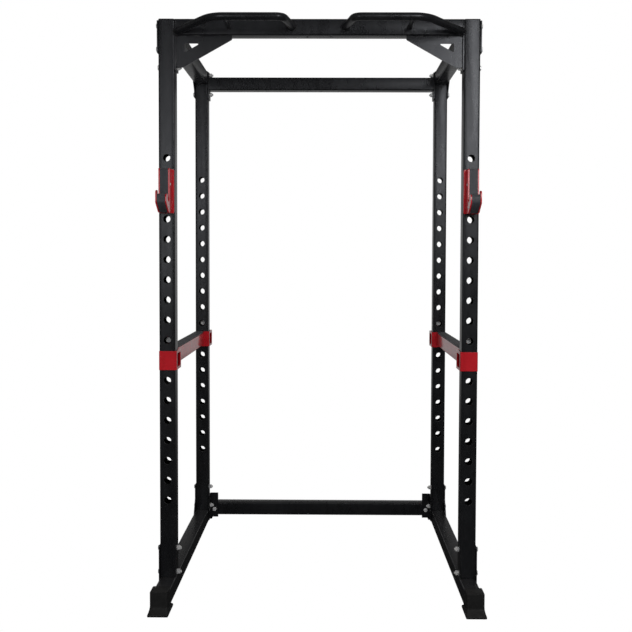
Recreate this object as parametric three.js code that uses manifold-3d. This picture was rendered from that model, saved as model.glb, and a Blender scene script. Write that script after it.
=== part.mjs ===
// A power cage: four perforated square-tube uprights on two base rails, tied together by
// crossbeams, with a bent pull-up grip on each side of the front beam, two sandwich hooks
// for a barbell and two safety bars that unhook forwards.
// Millimetres, +Z up, +X to the lifter's right, +Y from the front to the rear. The origin is
// on the floor, in the middle of the cage's footprint.
import * as THREE from "three";
import { mergeVertices } from "three/addons/utils/BufferGeometryUtils.js";
import Module from "manifold-3d";

const wasm = await Module();
wasm.setup();

// ---- Driving dimensions ----
const HEIGHT = 2175; // floor to the top of the upright caps
const HALF_SPACING = 570; // middle plane to an upright's centre line
const DEPTH = 880; // front uprights' centre line to the rear ones'
const FRONT_OVERHANG = 205; // foot tip to the front uprights' front face
const REAR_OVERHANG = 125; // rear uprights' rear face to the rear foot's end

const TUBE = 60; // side of the square tube
const WALL = 2.5;
const CORNER = 5;
const PLATE = 5; // thickness of the welded plates
const GAP = 0.3; // between pieces that touch

const LENGTH = FRONT_OVERHANG + TUBE + DEPTH + REAR_OVERHANG;
const HALF = TUBE / 2;
const FRONT_Y = -LENGTH / 2 + FRONT_OVERHANG + HALF;
const REAR_Y = FRONT_Y + DEPTH;

const SOLE = 8; // rubber under the base rails
const RAIL_TOP = SOLE + TUBE;
const CAP_LID = 4;
const FRAME_TOP = HEIGHT - CAP_LID;

const HOLES = 18;
const PITCH = 76.2;
const HOLE_RADIUS = 13.5;
const TOP_HOLE = 1659;
const HOOK_HOLE = 1; // holes counted down from the top one, which is 0
const SAFETY_HOLE = 10;
const PIN_RADIUS = 11;

const REAR_BEAM_DROP = 30; // cap tops down to the rear top beam
const FRONT_BEAM_TOP = HEIGHT - 0.5;
const END_PLATE_LENGTH = 192;
const REAR_END_PLATE = 130;
const BASE_PLATE_RISE = 120; // how far a corner plate stands past its rail
const TOP_PLATE_RISE = 62;
const CORNER_PLATE_REACH = 44; // and how far it runs along the rail

const BOLT_RADIUS = 5.5;
const BOLT_HOLE_RADIUS = 6.5;
const HEAD_RADIUS = 10;
const NUT_RADIUS = 9.5;
const WASHER = 2;
const HEAD = 5;
const NUT = 10;
const BOLT_TAIL = 5;
const FRONT_TOP_BOLTS = [HEIGHT - 20, HEIGHT - 107, HEIGHT - 176];
const REAR_TOP_BOLTS = [HEIGHT - 16, HEIGHT - 108];
const BASE_BOLTS = [81, 173];

const zOfHole = (index) => TOP_HOLE - index * PITCH;

// ---- Solids from three.js geometry ----
function solid(geometry) {
  const bare = geometry.index ? geometry.toNonIndexed() : geometry.clone();
  bare.deleteAttribute("normal");
  bare.deleteAttribute("uv");
  const merged = mergeVertices(bare, 1e-4);
  return new wasm.Manifold(
    new wasm.Mesh({
      numProp: 3,
      vertProperties: merged.attributes.position.array,
      triVerts: new Uint32Array(merged.index.array),
    }),
  );
}

function geometryOf(made) {
  const mesh = made.getMesh();
  return new THREE.BufferGeometry()
    .setAttribute("position", new THREE.BufferAttribute(mesh.vertProperties, 3))
    .setIndex(new THREE.BufferAttribute(mesh.triVerts, 1));
}

const join = (solids) => solids.reduce((whole, next) => whole.add(next));
const cut = (body, tools) => tools.reduce((left, tool) => left.subtract(tool), body);

// A box between two values on each axis.
function block([x0, x1], [y0, y1], [z0, z1]) {
  const box = new THREE.BoxGeometry(x1 - x0, y1 - y0, z1 - z0);
  return solid(box.translate((x0 + x1) / 2, (y0 + y1) / 2, (z0 + z1) / 2));
}

// A round bar from one point, along +X, +Y or +Z.
function rod(axis, [x, y, z], length, radius, sides) {
  const bar = new THREE.CylinderGeometry(radius, radius, length, sides).translate(0, length / 2, 0);
  if (axis === "x") bar.rotateZ(-Math.PI / 2);
  if (axis === "z") bar.rotateX(Math.PI / 2);
  return solid(bar.translate(x, y, z));
}

// An outline in the YZ plane, made into a plate between two values of x.
function sidePlate(outline, [x0, x1]) {
  const shape = new THREE.Shape(outline.map(([y, z]) => new THREE.Vector2(y, z)));
  const plate = new THREE.ExtrudeGeometry(shape, { depth: x1 - x0, bevelEnabled: false });
  // The outline's own x and y turn to run along +Y and +Z.
  return solid(plate.rotateX(Math.PI / 2).rotateZ(Math.PI / 2).translate(x0, 0, 0));
}

function roundedRectangle(width, height, radius) {
  const [x, y] = [width / 2 - radius, height / 2 - radius];
  return new THREE.Shape()
    .absarc(x, y, radius, 0, Math.PI / 2)
    .absarc(-x, y, radius, Math.PI / 2, Math.PI)
    .absarc(-x, -y, radius, Math.PI, 1.5 * Math.PI)
    .absarc(x, -y, radius, 1.5 * Math.PI, 2 * Math.PI);
}

// Box-section tube about its own axis, from 0 to its length along +X, +Y or +Z.
function boxTube(axis, length, width = TUBE, height = TUBE) {
  const section = roundedRectangle(width, height, CORNER);
  section.holes.push(roundedRectangle(width - 2 * WALL, height - 2 * WALL, CORNER - WALL));
  const tube = new THREE.ExtrudeGeometry(section, { depth: length, bevelEnabled: false, curveSegments: 2 });
  if (axis === "y") tube.rotateX(-Math.PI / 2);
  if (axis === "x") tube.rotateY(Math.PI / 2);
  return tube;
}

// ---- Finishes ----
const finish = (color, roughness, metalness) => () =>
  new THREE.MeshStandardMaterial({ color, roughness, metalness });
const blackPowder = finish(0x1d1e21, 0.45, 0.3);
const redPowder = finish(0xa3101d, 0.35, 0.2);
const blackPlastic = finish(0x2b2c2e, 0.6, 0);
const greyPlastic = finish(0x55575a, 0.55, 0);
const rubber = finish(0x202022, 0.85, 0);
const zinc = finish(0xb9bbc0, 0.35, 0.9);

function piece(name, shape, material, position = [0, 0, 0]) {
  const geometry = shape.isBufferGeometry ? shape : geometryOf(shape);
  const mesh = new THREE.Mesh(geometry, material());
  mesh.name = name;
  mesh.position.set(...position);
  return mesh;
}

// ---- Frame ----

// An upright about its centre line, its foot at z 0, with the pin holes from front to rear
// and a hole from side to side for each bolt.
function upright(boltHeights) {
  const foot = RAIL_TOP + GAP;
  const holes = [];
  for (let i = 0; i < HOLES; i++)
    holes.push(rod("y", [0, -TUBE, zOfHole(i) - foot], 2 * TUBE, HOLE_RADIUS, 8));
  for (const z of boltHeights)
    holes.push(rod("x", [-TUBE, 0, z - foot], 2 * TUBE, BOLT_HOLE_RADIUS, 6));
  return cut(solid(boxTube("z", FRAME_TOP - foot)), holes);
}

// The plastic plug in an upright's top, its lid's underside at z 0.
const CAP_PLUG = 6; // short, so that it clears the top bolts

function uprightCap() {
  const slab = (side, radius, depth) =>
    new THREE.ExtrudeGeometry(roundedRectangle(side, side, radius), {
      depth,
      bevelEnabled: false,
      curveSegments: 2,
    });
  const lid = slab(TUBE, CORNER, CAP_LID - GAP);
  const plug = slab(TUBE - 2 * WALL - 2 * GAP, CORNER - WALL, CAP_PLUG + 1).translate(0, 0, -CAP_PLUG);
  return join([solid(lid), solid(plug)]);
}

// A flat plate on the outer side of an upright and of the rail that it ties to. It is drawn for
// a front corner of the base: the upright's centre line at y 0, the rail's underside at z 0.
// It tapers back to the rail behind the upright.
function cornerPlate(rise, boltHeights) {
  const outline = [
    [-HALF, 2],
    [HALF + CORNER_PLATE_REACH, 2],
    [HALF + CORNER_PLATE_REACH, TUBE * 0.7],
    [HALF, TUBE + rise * 0.45],
    [HALF, TUBE + rise],
    [-HALF, TUBE + rise],
  ];
  const plate = sidePlate(outline, [HALF + GAP, HALF + GAP + PLATE]);
  return cut(
    plate,
    boltHeights.map((z) => rod("x", [0, 0, z], 2 * TUBE, BOLT_HOLE_RADIUS, 6)),
  );
}

const mirrorY = (made) => made.mirror([0, 1, 0]);
const mirrorZ = (made) => made.mirror([0, 0, 1]);

// A base rail about x 0, from its front end at y 0, its underside at z 0, with a plate
// welded to its outer side at each upright.
function baseRail(length, frontUpright, rearUpright) {
  const tube = solid(boxTube("y", length).translate(0, 0, HALF));
  const weld = (y0, y1) => block([HALF - 1, HALF + 1], [y0, y1], [6, TUBE - 6]);
  const plate = cornerPlate(BASE_PLATE_RISE, BASE_BOLTS.map((z) => z - SOLE));
  const front = join([plate, weld(-HALF, HALF + CORNER_PLATE_REACH - 4)]).translate([0, frontUpright, 0]);
  const rear = mirrorY(join([plate, weld(-HALF, HALF + CORNER_PLATE_REACH - 4)]));
  return join([tube, front, rear.translate([0, rearUpright, 0])]);
}

// A top rail between the uprights' facing sides, its front end at y 0 and its top at z 0.
function topRail(length) {
  const tube = solid(boxTube("y", length).translate(0, 0, -HALF));
  const weld = block([HALF - 1, HALF + 1], [HALF + GAP, HALF + CORNER_PLATE_REACH - 4], [6, TUBE - 6]);
  const corner = (bolts) => mirrorZ(join([cornerPlate(TOP_PLATE_RISE, bolts.map((z) => FRAME_TOP - z)), weld]));
  const front = corner(FRONT_TOP_BOLTS.slice(0, 2)).translate([0, -HALF - GAP, 0]);
  const rear = mirrorY(corner(REAR_TOP_BOLTS)).translate([0, length + HALF + GAP, 0]);
  return join([tube, front, rear]);
}

// A crossbeam from side to side, centred on x 0 and y 0, with an end plate against each
// upright. Heights are absolute.
function crossbeam(top, plateTop, plateLength, boltHeights, ventHoles) {
  const inner = HALF_SPACING - HALF - GAP;
  const tubeEnd = inner - PLATE + 1;
  const tube = solid(boxTube("x", 2 * tubeEnd).translate(-tubeEnd, 0, top - HALF));
  const parts = [tube];
  for (const side of [-1, 1]) {
    const faces = [side * (inner - PLATE), side * inner].sort((a, b) => a - b);
    parts.push(block(faces, [0.5 - HALF, HALF - 0.5], [plateTop - plateLength, plateTop - 0.5]));
  }
  const drill = (z) => rod("x", [-HALF_SPACING, 0, z], 2 * HALF_SPACING, BOLT_HOLE_RADIUS, 6);
  const vents = ventHoles.map((x) => rod("z", [x, 0, top - TUBE - HALF], TUBE, 5, 8));
  return cut(join(parts), [...boltHeights.map(drill), ...vents]);
}

// The triangular plate in each upper front corner, in the XZ plane: the corner between the
// beam's underside and the end plate at the origin, running inwards along -x.
const GUSSET_LEG = 209;
const GUSSET_DROP = 118;
const GUSSET_TIP = 15;
const GUSSET_FOOT = 26;
const GUSSET_WINDOW = [59, 33];
const GUSSET_THICKNESS = 6;

function gusset() {
  const outline = new THREE.Shape()
    .moveTo(0, 0)
    .lineTo(-GUSSET_LEG, 0)
    .lineTo(-GUSSET_LEG, -GUSSET_TIP)
    .lineTo(-GUSSET_FOOT, -GUSSET_DROP)
    .lineTo(0, -GUSSET_DROP);
  const [wide, tall] = GUSSET_WINDOW;
  const [right, top] = [-32, -29];
  outline.holes.push(
    new THREE.Path().moveTo(right, top).lineTo(right, top - tall).lineTo(right - wide, top),
  );
  const plate = new THREE.ExtrudeGeometry(outline, { depth: GUSSET_THICKNESS, bevelEnabled: false });
  return solid(plate.rotateX(Math.PI / 2));
}

// ---- Pull-up grips ----
const GRIP_RADIUS = 14;
const GRIP_REACH = 145; // beam's front face to the grip's centre line
const GRIP_POST_RADIUS = 7.5;
const GRIP_POST_X = 336;
const GRIP_HEIGHT = HEIGHT - 33;
const GRIP_OUTER_END = [530, HEIGHT - 47];
const GRIP_INNER_END = [98, HEIGHT - 31];
const GRIP_FLAT = [128, 385];
const GRIP_BENDS = [45, 28]; // length of straight run that the outer and the inner bend take up

// Straight runs between the corners, with a smooth bend at each corner.
function bentPath(corners, bends) {
  const path = new THREE.CurvePath();
  let from = corners[0];
  for (let i = 1; i < corners.length - 1; i++) {
    const into = corners[i].clone().sub(corners[i - 1]).normalize();
    const out = corners[i + 1].clone().sub(corners[i]).normalize();
    const start = corners[i].clone().addScaledVector(into, -bends[i - 1]);
    const end = corners[i].clone().addScaledVector(out, bends[i - 1]);
    path.add(new THREE.LineCurve3(from, start));
    path.add(new THREE.QuadraticBezierCurve3(start, corners[i], end));
    from = end;
  }
  path.add(new THREE.LineCurve3(from, corners.at(-1)));
  return path;
}

// One grip, in the cage's own coordinates, cut off square against the beam's front face.
function pullUpGrip() {
  const face = FRONT_Y - HALF;
  const front = face - GRIP_REACH;
  const corners = [
    new THREE.Vector3(GRIP_OUTER_END[0], face + 10, GRIP_OUTER_END[1]),
    new THREE.Vector3(GRIP_FLAT[1], front, GRIP_HEIGHT),
    new THREE.Vector3(GRIP_FLAT[0], front, GRIP_HEIGHT),
    new THREE.Vector3(GRIP_INNER_END[0], face + 10, GRIP_INNER_END[1]),
  ];
  const ring = new THREE.Shape().absarc(0, 0, GRIP_RADIUS, 0, 2 * Math.PI);
  const bar = new THREE.ExtrudeGeometry(ring, {
    extrudePath: bentPath(corners, GRIP_BENDS),
    steps: 26,
    curveSegments: 5,
    bevelEnabled: false,
  });
  const post = rod("y", [GRIP_POST_X, front, GRIP_HEIGHT], GRIP_REACH + 5, GRIP_POST_RADIUS, 8);
  const beyond = block([0, HALF_SPACING], [face - GAP, face + TUBE], [HEIGHT - 100, HEIGHT + 50]);
  return cut(join([solid(bar), post]), [beyond]);
}

// ---- Feet and the rear corner bracket ----
const FOOT_TOE = 24; // foot tip to the sleeve's front
const FOOT_LENGTH = 60;
const FOOT_SIDE = 2.2;
const FOOT_FRONT = 4;
const FOOT_LID = 13.5;
const FLANGE_WIDTH = 75;
const FLANGE_HEIGHT = 7;
const FLANGE_LENGTH = 112;

// A rubber sleeve on a rail's end, its tip at y 0 and its sole on z 0, the rail running to +y.
function foot() {
  const half = HALF + GAP + FOOT_SIDE;
  const sleeve = block([-half, half], [FOOT_TOE, FOOT_TOE + FOOT_LENGTH], [0, RAIL_TOP + GAP + FOOT_LID]);
  const flange = block([-FLANGE_WIDTH / 2, FLANGE_WIDTH / 2], [0, FLANGE_LENGTH], [0, FLANGE_HEIGHT]);
  const socket = block(
    [-HALF - GAP, HALF + GAP],
    [FOOT_TOE + FOOT_FRONT, 2 * FLANGE_LENGTH],
    [SOLE - GAP, RAIL_TOP + GAP],
  );
  return cut(join([sleeve, flange]), [socket]);
}

const CORNER_BRACKET_WIDTH = 40;
const CORNER_BRACKET_REACH = 62;
const CORNER_BRACKET_FOOT = 16;
const CORNER_BRACKET_TOP = 135;
const REAR_BEAM_BASE = 25; // rear bottom beam's underside
const REAR_BEAM_BOLT = 55;

// Steel angle that ties the rear bottom beam to a rear upright: one leg on the upright's and
// the rail's inner side, one on the beam's front. Drawn in the cage's own x and z, the beam's
// front at y 0.
function cornerBracket() {
  const inner = HALF_SPACING - HALF - GAP;
  const heights = [CORNER_BRACKET_FOOT, CORNER_BRACKET_TOP];
  const side = block([inner - PLATE, inner], [-CORNER_BRACKET_REACH, -GAP], heights);
  const front = block([inner - CORNER_BRACKET_WIDTH, inner], [-PLATE - GAP, -GAP], heights);
  const sideBolt = rod("x", [inner - TUBE, -HALF, BASE_BOLTS[0]], TUBE * 2, BOLT_HOLE_RADIUS, 6);
  const beamBolt = rod("y", [inner - 22, -TUBE, REAR_BEAM_BOLT], TUBE * 2, BOLT_HOLE_RADIUS, 6);
  return cut(join([side, front]), [sideBolt, beamBolt]);
}

function rearBottomBeam() {
  const end = HALF_SPACING - HALF - PLATE - 2 * GAP;
  const tube = solid(boxTube("x", 2 * end).translate(-end, HALF, REAR_BEAM_BASE + HALF));
  const x = HALF_SPACING - HALF - GAP - 22;
  const holes = [-x, x].map((at) => rod("y", [at, -TUBE, REAR_BEAM_BOLT], 3 * TUBE, BOLT_HOLE_RADIUS, 6));
  return cut(tube, holes);
}

// ---- Fasteners ----

// Bolt, washers and nut, turned in one profile along +z: the head's seat is at z 0, the bolt
// runs to -z, and the nut bears at -thickness.
function bolt(thickness) {
  const seat = GAP / 2;
  const nutSeat = -thickness - seat;
  const profile = [
    [0, seat + WASHER + HEAD],
    [HEAD_RADIUS * 0.7, seat + WASHER + HEAD],
    [HEAD_RADIUS, seat + WASHER],
    [HEAD_RADIUS + 2, seat + WASHER],
    [HEAD_RADIUS + 2, seat],
    [BOLT_RADIUS, seat],
    [BOLT_RADIUS, nutSeat],
    [HEAD_RADIUS, nutSeat],
    [HEAD_RADIUS, nutSeat - WASHER],
    [NUT_RADIUS, nutSeat - WASHER],
    [NUT_RADIUS, nutSeat - WASHER - NUT],
    [BOLT_RADIUS, nutSeat - WASHER - NUT],
    [BOLT_RADIUS, nutSeat - WASHER - NUT - BOLT_TAIL],
    [0, nutSeat - WASHER - NUT - BOLT_TAIL],
  ];
  const points = profile.map(([radius, z]) => new THREE.Vector2(radius, z)).reverse();
  return new THREE.LatheGeometry(points, 6).rotateX(Math.PI / 2);
}

// ---- Barbell hooks ----
const HOOK_WIDTH = 58;
const HOOK_HEIGHT = 164;
const HOOK_BELOW_PIN = 131.5; // bottom edge below the upper pin
const HOOK_CORE = 31;
const HOOK_OUTER_LIFT = 13; // how much higher the outer cheek's lip is
const HOOK_SIDE = 5;
const HOOK_BACK = 5;
const HOOK_DEPTH = 54;
const HOOK_PIN_LENGTH = 42;

// The hook's side view: forwards from the upright's face, up from the hook's bottom edge.
function hookProfile(inset, lift) {
  const shape = new THREE.Shape();
  shape.moveTo(HOOK_BACK + GAP, inset);
  shape.lineTo(HOOK_BACK + GAP, HOOK_HEIGHT - inset);
  shape.lineTo(HOOK_DEPTH - 8, HOOK_HEIGHT - inset);
  shape.quadraticCurveTo(HOOK_DEPTH, HOOK_HEIGHT - inset, HOOK_DEPTH, HOOK_HEIGHT - 8 - inset);
  shape.lineTo(HOOK_DEPTH, 56);
  shape.absarc(HOOK_DEPTH + 17, 56, 17, Math.PI, 2 * Math.PI);
  shape.lineTo(HOOK_DEPTH + 34, 60 + lift);
  shape.quadraticCurveTo(HOOK_DEPTH + 36, 67 + lift, HOOK_DEPTH + 46, 66 + lift);
  shape.quadraticCurveTo(HOOK_DEPTH + 60 - inset, 64 + lift, HOOK_DEPTH + 60 - inset, 52 + lift);
  shape.lineTo(HOOK_DEPTH + 60 - inset, 34);
  shape.lineTo(HOOK_DEPTH + 8, inset);
  return shape;
}

// A slab of the side view, between two values of x: forwards becomes -y.
function hookSlab(inset, lift, [x0, x1]) {
  const slab = new THREE.ExtrudeGeometry(hookProfile(inset, lift), {
    depth: x1 - x0,
    bevelEnabled: false,
    curveSegments: 5,
  });
  return solid(slab.rotateX(Math.PI / 2).rotateZ(-Math.PI / 2).translate(x1, 0, 0));
}

// Back plate, two side cheeks and two pins, welded. The upright's face is at y 0, the upper
// pin's centre at z 0.
function hookBracket() {
  const bottom = -HOOK_BELOW_PIN;
  const back = block(
    [-HOOK_WIDTH / 2, HOOK_WIDTH / 2],
    [-HOOK_BACK - GAP - 0.5, -GAP],
    [bottom, bottom + HOOK_HEIGHT],
  );
  const parts = [back];
  for (const z of [0, -PITCH])
    parts.push(rod("y", [0, -HOOK_BACK, z], HOOK_BACK + HOOK_PIN_LENGTH, PIN_RADIUS, 10));
  const half = HOOK_CORE / 2;
  parts.push(hookSlab(0, HOOK_OUTER_LIFT, [half, half + HOOK_SIDE]).translate([0, 0, bottom]));
  parts.push(hookSlab(0, 0, [-half - HOOK_SIDE, -half]).translate([0, 0, bottom]));
  return join(parts);
}

function hookCore() {
  const half = HOOK_CORE / 2 - GAP;
  return hookSlab(1, 0, [-half, half]).translate([0, -1, -HOOK_BELOW_PIN]);
}

// ---- Safety bars ----
const SAFETY_WIDTH = 40;
const SAFETY_HEIGHT = 60;
const SAFETY_LINER = 8;
const SAFETY_TRAVEL = 33; // how far the bar moves forwards to free its pins
const SAFETY_PIN_LENGTH = 30;
const BRACKET_HEIGHT = 72;
const BRACKET_CLEARANCE = 1.2;
const LOCK_TOP = PITCH + 24; // top of the lock pin's tab, above the bar's centre line
const LOCK_TAB_REACH = 22; // tab's inner edge, from the upright's centre line

// A channel round an upright, open on the outer side: front plate with a pin, inner cheek,
// and a back plate with a tab, whose lock pin enters the next hole up from behind. The upright's
// centre line is at x 0, y 0 and the hole for the front pin at z 0.
function safetyBracket() {
  const half = BRACKET_HEIGHT / 2;
  const inner = -HALF - BRACKET_CLEARANCE - PLATE;
  const front = -HALF - GAP - PLATE;
  const back = HALF + SAFETY_TRAVEL + PLATE;
  const channel = block([inner, HALF], [front, back], [-half, half]);
  const room = block([inner + PLATE, TUBE], [front + PLATE, back - PLATE], [-TUBE, TUBE]);
  const window = block([-TUBE, 0], [front + 15, back - 15], [-half + 10, half - 10]);
  const pin = rod("y", [0, front + 1, 0], PLATE + SAFETY_PIN_LENGTH, PIN_RADIUS, 10);
  const tab = block([-LOCK_TAB_REACH, HALF], [back - PLATE, back], [0, LOCK_TOP]);
  const lockPin = rod("y", [0, 0, PITCH], back - 1, PIN_RADIUS, 10);
  return join([cut(channel, [room, window]), pin, tab, lockPin]);
}

// ---- Assembly ----
const cage = new THREE.Group();
cage.name = "power_cage";

const rearBeamTop = HEIGHT - REAR_BEAM_DROP;
cage.add(
  piece(
    "front_top_crossbeam",
    crossbeam(FRONT_BEAM_TOP, FRONT_BEAM_TOP, END_PLATE_LENGTH, FRONT_TOP_BOLTS, [-45, 45]),
    blackPowder,
    [0, FRONT_Y, 0],
  ),
  piece(
    "rear_top_crossbeam",
    crossbeam(rearBeamTop, FRAME_TOP, REAR_END_PLATE, REAR_TOP_BOLTS, [0]),
    blackPowder,
    [0, REAR_Y, 0],
  ),
  piece("rear_bottom_crossbeam", rearBottomBeam(), blackPowder, [0, REAR_Y + HALF + GAP, 0]),
);

// Everything on the +X side. The other side is its mirror image.
function sideOfCage(side) {
  const half = new THREE.Group();
  if (side === "left") half.scale.x = -1;
  const add = (name, ...rest) => half.add(piece(`${side}_${name}`, ...rest));
  const foot0 = RAIL_TOP + GAP;
  const x = HALF_SPACING;

  add("front_upright", upright([...FRONT_TOP_BOLTS, ...BASE_BOLTS]), blackPowder, [x, FRONT_Y, foot0]);
  add("rear_upright", upright([...REAR_TOP_BOLTS, ...BASE_BOLTS]), blackPowder, [x, REAR_Y, foot0]);
  add("front_upright_cap", uprightCap(), blackPlastic, [x, FRONT_Y, FRAME_TOP + GAP]);
  add("rear_upright_cap", uprightCap(), blackPlastic, [x, REAR_Y, FRAME_TOP + GAP]);

  const railFront = -LENGTH / 2 + FOOT_TOE + FOOT_FRONT + GAP;
  add(
    "base_rail",
    baseRail(-2 * railFront, FRONT_Y - railFront, REAR_Y - railFront),
    blackPowder,
    [x, railFront, SOLE],
  );
  add("top_rail", topRail(DEPTH - TUBE - 2 * GAP), blackPowder, [x, FRONT_Y + HALF + GAP, FRAME_TOP]);
  add("front_foot", foot(), rubber, [x, -LENGTH / 2, 0]);
  const rearFoot = piece(`${side}_rear_foot`, foot(), rubber, [x, LENGTH / 2, 0]);
  rearFoot.rotation.z = Math.PI;
  half.add(rearFoot);
  add("rear_corner_bracket", cornerBracket(), blackPowder, [0, REAR_Y + HALF, 0]);

  const gussetCorner = x - HALF - 2 * GAP - PLATE;
  add("gusset", gusset(), blackPowder, [gussetCorner, FRONT_Y - 16, FRONT_BEAM_TOP - TUBE - GAP]);
  add("pull_up_grip", pullUpGrip(), blackPowder);

  const hook = new THREE.Group();
  hook.position.set(x, FRONT_Y - HALF, zOfHole(HOOK_HOLE));
  hook.add(piece(`${side}_hook_bracket`, hookBracket(), redPowder));
  hook.add(piece(`${side}_hook_core`, hookCore(), greyPlastic));

  const safety = new THREE.Group();
  safety.position.set(x, 0, zOfHole(SAFETY_HOLE));
  safety.add(piece(`${side}_safety_front_bracket`, safetyBracket(), redPowder, [0, FRONT_Y, 0]));
  safety.add(piece(`${side}_safety_rear_bracket`, safetyBracket(), redPowder, [0, REAR_Y, 0]));
  const barStart = FRONT_Y + HALF + SAFETY_TRAVEL + PLATE + GAP;
  const barLength = REAR_Y - HALF - PLATE - 2 * GAP - barStart;
  const barX = HALF - SAFETY_WIDTH / 2;
  const bar = boxTube("y", barLength, SAFETY_WIDTH, SAFETY_HEIGHT);
  safety.add(piece(`${side}_safety_bar`, solid(bar), redPowder, [barX, barStart, 0]));
  const liner = block([-SAFETY_WIDTH / 2, SAFETY_WIDTH / 2], [8, barLength - 8], [GAP, SAFETY_LINER]);
  safety.add(piece(`${side}_safety_liner`, liner, greyPlastic, [barX, barStart, SAFETY_HEIGHT / 2]));
  half.add(hook, safety);

  // Through bolts, heads outside and nuts inside. Each insides value is the distance from the
  // upright's centre line to the face that the nut bears on.
  const outside = HALF + GAP + PLATE;
  function sideBolts(name, heights, y, insides) {
    heights.forEach((z, i) => {
      const fastener = piece(`${side}_${name}_bolt_${i + 1}`, bolt(outside + insides[i]), zinc);
      fastener.rotation.y = Math.PI / 2;
      fastener.position.set(x + outside, y, z);
      half.add(fastener);
    });
  }
  sideBolts("front_top", FRONT_TOP_BOLTS.slice(0, 2), FRONT_Y, [outside, outside]);
  sideBolts("rear_top", REAR_TOP_BOLTS, REAR_Y, [outside, outside]);
  sideBolts("front_base", BASE_BOLTS, FRONT_Y, [HALF, HALF]);
  sideBolts("rear_base", BASE_BOLTS, REAR_Y, [outside, HALF]);

  const beamBolt = piece(`${side}_beam_end_bolt`, bolt(TUBE + outside - HALF), zinc);
  beamBolt.rotation.y = Math.PI / 2;
  beamBolt.position.set(x + HALF, FRONT_Y, FRONT_TOP_BOLTS[2]);
  half.add(beamBolt);

  const crossBolt = piece(`${side}_bracket_beam_bolt`, bolt(PLATE + 2 * GAP + TUBE), zinc);
  crossBolt.rotation.x = Math.PI / 2;
  crossBolt.position.set(x - HALF - GAP - 22, REAR_Y + HALF - PLATE - GAP, REAR_BEAM_BOLT);
  half.add(crossBolt);
  return half;
}

cage.add(sideOfCage("left"), sideOfCage("right"));

export default cage;
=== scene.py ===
# %% [markdown]
# # A power cage
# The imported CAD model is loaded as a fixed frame, and every part of it gets a finer body with
# the same place and size: tubes with rounded corners and drilled holes, plates with weld beads,
# bolts with washers and threads, bent grips, sandwich hooks and unhooking safety bars.
# All lengths are metres. -Y is the front of the cage and +X is its right side.

# %% load the frame
import math

import bmesh
import bpy
from mathutils import Matrix, Vector


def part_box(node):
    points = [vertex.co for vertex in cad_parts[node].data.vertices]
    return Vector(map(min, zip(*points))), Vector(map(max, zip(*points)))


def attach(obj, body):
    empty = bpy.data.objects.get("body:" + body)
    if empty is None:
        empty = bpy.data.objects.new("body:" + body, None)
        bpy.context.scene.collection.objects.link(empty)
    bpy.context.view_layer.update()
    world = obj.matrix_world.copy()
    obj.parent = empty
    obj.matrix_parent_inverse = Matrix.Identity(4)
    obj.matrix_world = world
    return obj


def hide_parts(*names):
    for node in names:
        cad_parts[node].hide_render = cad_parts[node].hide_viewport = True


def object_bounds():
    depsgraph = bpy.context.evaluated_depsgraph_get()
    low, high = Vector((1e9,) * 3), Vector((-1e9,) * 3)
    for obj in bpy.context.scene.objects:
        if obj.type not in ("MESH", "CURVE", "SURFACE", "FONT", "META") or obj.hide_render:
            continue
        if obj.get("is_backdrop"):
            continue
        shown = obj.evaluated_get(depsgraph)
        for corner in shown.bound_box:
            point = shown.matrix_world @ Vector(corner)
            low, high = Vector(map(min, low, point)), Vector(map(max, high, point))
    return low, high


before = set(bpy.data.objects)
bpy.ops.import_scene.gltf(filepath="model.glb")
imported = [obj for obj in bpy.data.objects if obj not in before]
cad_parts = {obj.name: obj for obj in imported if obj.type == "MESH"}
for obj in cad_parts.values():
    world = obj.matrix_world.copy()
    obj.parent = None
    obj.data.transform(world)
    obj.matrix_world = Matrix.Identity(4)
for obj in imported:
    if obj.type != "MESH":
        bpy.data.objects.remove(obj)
scene = bpy.context.scene
cad_low, cad_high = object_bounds()
print("frame:", len(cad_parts), "nodes,", [round(v, 3) for v in cad_high - cad_low], "m")

# %% [markdown]
# ## Sizes that the whole cage shares
# The cage is cut from one stock: 60 mm square tube with a 2.5 mm wall. The pin holes run down
# each upright at a pitch of three inches. Their places follow from the hook, whose upper pin
# sits in the second hole.

# %% shared sizes
MM = 0.001
TUBE, WALL, CORNER, PLATE, GAP = 60 * MM, 2.5 * MM, 5 * MM, 5 * MM, 0.3 * MM
HOLES, PITCH, HOLE_RADIUS, PIN_RADIUS = 18, 76.2 * MM, 13.5 * MM, 11 * MM
HOOK_BELOW_PIN = 131.5 * MM
SAFETY_HOLE = 10  # counted down from the top hole, which is 0
SIDES = {"left": -1, "right": 1}

hook_low, hook_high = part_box("right_hook_bracket")
post_low, post_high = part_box("right_front_upright")
rear_low, rear_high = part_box("right_rear_upright")
top_hole = hook_low[2] + HOOK_BELOW_PIN + PITCH
hole_heights = [top_hole - i * PITCH for i in range(HOLES)]
post_x = (post_low[0] + post_high[0]) / 2
post_face = post_low[1]
print("top pin hole at", round(top_hole, 3), "m, uprights at x", round(post_x, 3), "m")

# %% [markdown]
# ## The camera
# A camera's place fixes the perspective: how much smaller the rear uprights look than the
# front ones. It stands a little over three metres before the cage at chest height, and looks
# slightly down. The lens shift then frames the cage without turning the camera.

# %% camera
CAMERA_PLACE = (0.036, post_face - 3.1905, 1.280)
LOOKS_DOWN, LOOKS_LEFT, LEANS = math.radians(2.04), math.radians(0.415), math.radians(0.175)

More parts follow.
